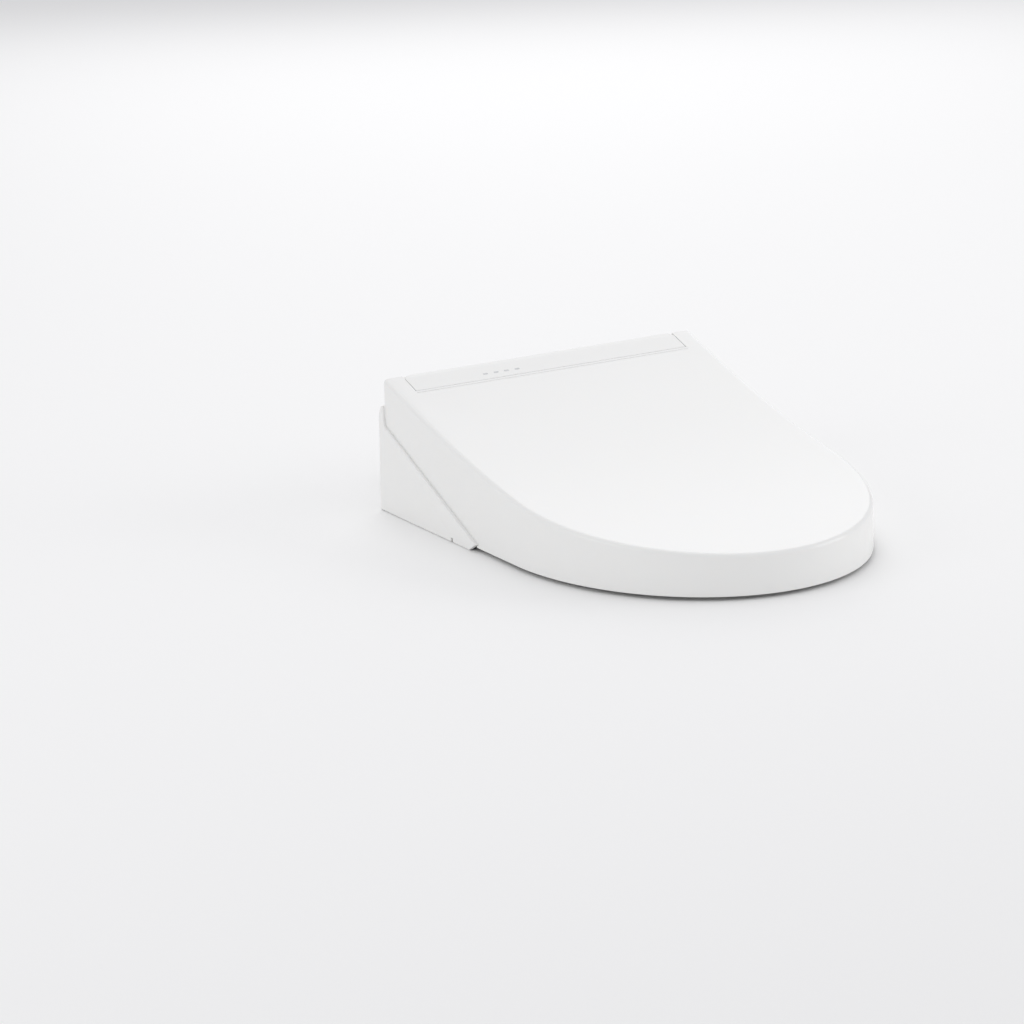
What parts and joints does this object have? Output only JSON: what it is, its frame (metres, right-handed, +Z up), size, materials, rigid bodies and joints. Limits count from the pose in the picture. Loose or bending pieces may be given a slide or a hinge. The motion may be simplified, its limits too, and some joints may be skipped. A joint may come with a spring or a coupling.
{
  "type": "electric bidet seat",
  "caption": "D-shaped electric bidet seat with a sloping soft-close lid, a heated ring seat and a spray wand in a rear housing that bolts to a toilet bowl.",
  "frame": {"origin": "midway between the two bowl-bolt slots of the mounting plate, on the plane of the bowl's rim that the unit stands on", "axes": "+Z up, -Y towards the seat's nose, X along the line of the two bowl bolts"},
  "size_m": [0.391, 0.663, 0.1458],
  "materials": {
    "shell_white": "glossy injection-moulded shell, white",
    "seat_white": "glossy white seat resin",
    "case_white": "satin white housing resin",
    "inner_plastic": "natural moulded resin",
    "wand_plastic": "polished white resin",
    "gear_plastic": "acetal",
    "lens": "smoked grey light windows",
    "rubber_grey": "soft grey rubber",
    "steel": "stainless steel",
    "damper_body": "black engineering resin",
    "brass_fitting": "machined brass",
    "heater_foil": "aluminium foil heater",
    "board": "green circuit board",
    "carbon": "activated carbon cartridge",
    "tube_silicone": "translucent silicone",
    "cord_grey": "light grey flexible vinyl",
    "hose_white": "off-white flexible hose",
    "nut_chrome": "chromed coupling nut"
  },
  "bodies": {
    "housing": {"base_case": "case_white", "top_cover": "case_white", "top_panel": "shell_white", "indicator_lenses": "lens", "left_side_cover": "shell_white", "right_side_cover": "shell_white", "hinge_pins": "steel", "lid_damper": "damper_body", "seat_damper": "damper_body", "mounting_pad": "rubber_grey", "mounting_plate": "steel", "plate_bushings": "gear_plastic", "base_feet": "rubber_grey", "wand_guide": "inner_plastic", "wand_motor": "damper_body", "inlet_union": "brass_fitting", "inlet_valve": "damper_body", "water_tank": "inner_plastic", "tank_lid": "inner_plastic", "tank_heater": "steel", "water_pump": "damper_body", "diverter_valve": "inner_plastic", "diverter_motor": "damper_body", "water_tubes": "tube_silicone", "dryer_housing": "inner_plastic", "dryer_duct": "inner_plastic", "dryer_heater": "steel", "deodoriser_housing": "inner_plastic", "carbon_filter": "carbon", "control_board": "board", "power_board": "board", "display_board": "board", "case_screws": "steel", "cord_gland": "cord_grey", "power_cord": "cord_grey", "cord_coil": "cord_grey", "cord_tail": "cord_grey", "plug_body": "cord_grey", "plug_pins": "brass_fitting", "supply_hose": "hose_white", "hose_coil": "hose_white", "hose_tail": "hose_white", "hose_nut": "nut_chrome"},
    "seat": {"seat_top": "seat_white", "seat_arms": "seat_white", "seat_base": "seat_white", "seat_heater": "heater_foil", "seat_feet": "rubber_grey"},
    "lid": {"lid": "shell_white", "lid_bumpers": "rubber_grey"},
    "wand": {"wand_tube": "wand_plastic", "wand_tip": "wand_plastic", "wand_rack": "gear_plastic"},
    "pinion": {"drive_pinion": "gear_plastic"},
    "release_button": {"release_button": "shell_white"},
    "drain_cap": {"drain_cap": "case_white"},
    "diverter_rotor": {"diverter_rotor": "inner_plastic"},
    "dryer_rotor": {"dryer_rotor": "inner_plastic"},
    "dryer_flap": {"dryer_flap": "case_white"},
    "deodoriser_rotor": {"deodoriser_rotor": "inner_plastic"}
  },
  "joints": [
    {"name": "seat_hinge", "type": "hinge", "parent": "housing", "child": "seat", "pos_m": [0, 0.058, 0.127], "axis": [1, 0, 0], "range_deg": [-100, 0]},
    {"name": "lid_hinge", "type": "hinge", "parent": "seat", "child": "lid", "pos_m": [0, 0.058, 0.127], "axis": [-1, 0, 0], "range_deg": [0, 105]},
    {"name": "wand_slide", "type": "slide", "parent": "housing", "child": "wand", "axis": [0, -0.9063, -0.4226], "range_m": [0, 0.10053]},
    {"name": "pinion_spin", "type": "hinge", "parent": "housing", "child": "pinion", "pos_m": [0.0175, -0.0345, 0.04029], "axis": [0, -0.4226, 0.9063], "range_deg": [-1, 721]},
    {"name": "release_press", "type": "slide", "parent": "housing", "child": "release_button", "axis": [-1, 0, 0], "range_m": [0, 0.003], "stiffness_N_per_m": 400},
    {"name": "drain_turn", "type": "hinge", "parent": "housing", "child": "drain_cap", "pos_m": [-0.078, 0.078, 0.02], "axis": [0, 1, 0], "range_deg": [0, 90]},
    {"name": "diverter_spin", "type": "hinge", "parent": "housing", "child": "diverter_rotor", "pos_m": [-0.03, 0.023, 0.05], "axis": [0, 1, 0], "continuous": true},
    {"name": "dryer_spin", "type": "hinge", "parent": "housing", "child": "dryer_rotor", "pos_m": [0.078, 0.022, 0.048], "axis": [1, 0, 0], "continuous": true},
    {"name": "flap_swing", "type": "hinge", "parent": "housing", "child": "dryer_flap", "pos_m": [0.078, -0.0809, 0.0278], "axis": [-1, 0, 0], "range_deg": [0, 60]},
    {"name": "deodoriser_spin", "type": "hinge", "parent": "housing", "child": "deodoriser_rotor", "pos_m": [0.146, 0.004, 0.026], "axis": [1, 0, 0], "continuous": true}
  ],
  "couplings": [
    {"joint": "pinion_spin", "follows": "wand_slide", "rad_per_m": 125}
  ]
}
